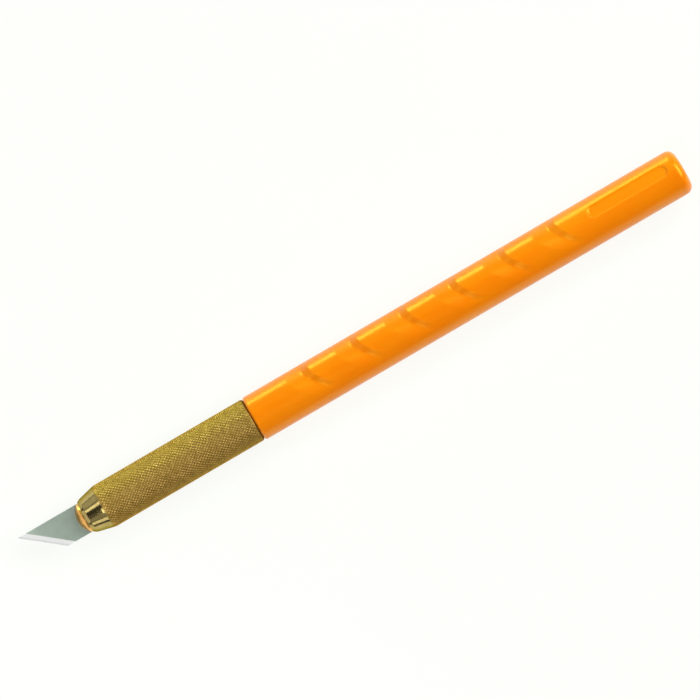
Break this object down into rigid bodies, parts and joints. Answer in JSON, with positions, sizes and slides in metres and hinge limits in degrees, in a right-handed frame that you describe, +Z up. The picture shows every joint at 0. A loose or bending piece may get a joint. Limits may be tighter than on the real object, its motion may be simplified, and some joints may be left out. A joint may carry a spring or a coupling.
{
  "type": "hobby craft knife",
  "caption": "Pencil-slim craft knife with a slanted blade held by a brass collet in a knurled sleeve on a round orange plastic handle with slanted grip scallops.",
  "frame": {"origin": "on the surface the knife lies on, under the middle of its length", "axes": "+X along the knife from the blade's point towards the end of the handle, +Y towards the back of the blade, +Z up, square to the flat of the blade"},
  "size_m": [0.143, 0.009, 0.009],
  "materials": {
    "orange_plastic": "glossy moulded plastic, slightly translucent orange",
    "insert_brass": "turned brass, satin",
    "sleeve_brass": "polished nose, fine diamond knurl on the barrel",
    "collet_brass": "turned brass, warm reddish tone, polished nose",
    "blade_steel": "fine ground blade steel with a bright honed bevel"
  },
  "bodies": {
    "handle": {"handle": "orange_plastic", "threaded_insert": "insert_brass"},
    "sleeve": {"knurled_sleeve": "sleeve_brass"},
    "collet": {"collet": "collet_brass"},
    "blade": {"blade": "blade_steel"}
  },
  "joints": [
    {"name": "sleeve_turn", "type": "hinge", "parent": "handle", "child": "sleeve", "pos_m": [-0.03, 0, 0.00452], "axis": [-1, 0, 0], "range_deg": [0, 720]},
    {"name": "collet_advance", "type": "slide", "parent": "sleeve", "child": "collet", "axis": [-1, 0, 0], "range_m": [0, 0.0014]},
    {"name": "blade_pull", "type": "slide", "parent": "collet", "child": "blade", "axis": [-1, 0, 0], "range_m": [0, 0.026]}
  ],
  "couplings": [
    {"joint": "collet_advance", "follows": "sleeve_turn", "m_per_rad": 0.00011141}
  ]
}
